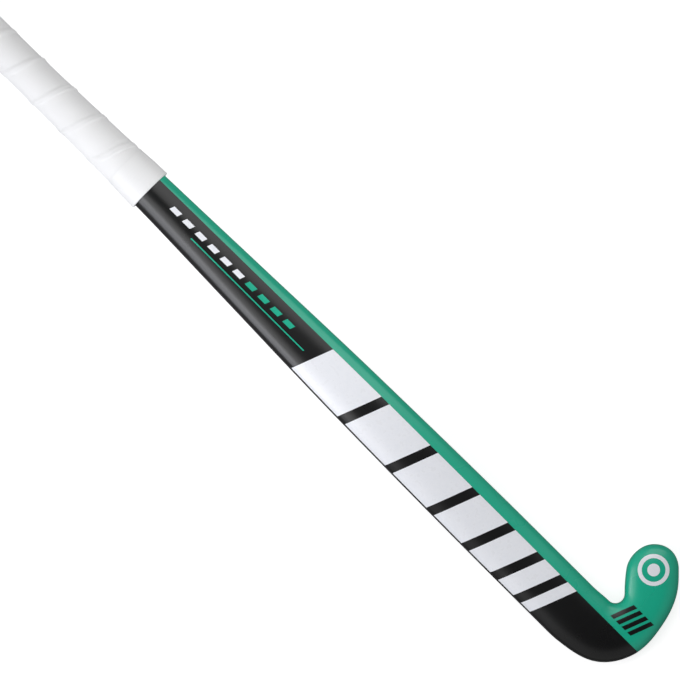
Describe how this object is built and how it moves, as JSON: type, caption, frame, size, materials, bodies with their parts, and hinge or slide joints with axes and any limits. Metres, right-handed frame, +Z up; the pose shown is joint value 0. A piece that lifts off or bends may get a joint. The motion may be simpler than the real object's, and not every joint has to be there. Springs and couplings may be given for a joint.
{
  "type": "indoor hockey stick",
  "caption": "Composite indoor hockey stick with a J-shaped hook, bowed shaft, rounded back and flat playing face, white wound cushion grip, green and black with silver bars.",
  "frame": {"origin": "middle of the footprint, on the surface the stick lies on", "axes": "+X from the butt to the head, +Y from the heel side to the toe, +Z up out of the rounded back; the flat playing face looks down"},
  "size_m": [0.927, 0.1142, 0.0449],
  "materials": {
    "green_lacquer": "satin clear lacquer over green colour on carbon and glass laminate",
    "laminate": "bare carbon and glass laminate",
    "core_foam": "rigid polyurethane foam",
    "aramid": "woven aramid in resin",
    "nylon": "moulded nylon",
    "rubber": "moulded rubber, matt",
    "grip_cushion": "white polyurethane cushion grip, soft and slightly tacky",
    "tape": "white elastic finishing tape",
    "black_film": "satin black transfer under lacquer",
    "silver_film": "silver-white transfer under lacquer",
    "green_film": "green transfer under lacquer"
  },
  "bodies": {
    "root": {"laminate_shell": "green_lacquer", "centre_rib": "laminate", "foam_core_toe_side": "core_foam", "foam_core_heel_side": "core_foam", "head_core": "core_foam", "aramid_patch": "aramid", "butt_plug": "nylon", "butt_cap": "rubber", "cushion_grip": "grip_cushion", "finishing_tape": "tape", "black_side_transfer": "black_film", "pinstripe_transfer": "green_film", "toe_ring": "silver_film", "toe_dot": "silver_film", "silver_bar_1": "silver_film", "silver_bar_2": "silver_film", "silver_bar_3": "silver_film", "silver_bar_4": "silver_film", "silver_bar_5": "silver_film", "silver_bar_6": "silver_film", "silver_bar_7": "silver_film", "dash_1": "silver_film", "dash_2": "silver_film", "dash_3": "silver_film", "dash_4": "silver_film", "dash_5": "silver_film", "dash_6": "silver_film", "dash_7": "green_film", "dash_8": "green_film", "dash_9": "green_film", "dash_10": "green_film", "neck_bar_1": "black_film", "neck_bar_2": "black_film", "neck_bar_3": "black_film", "neck_bar_4": "black_film"}
  },
  "joints": []
}
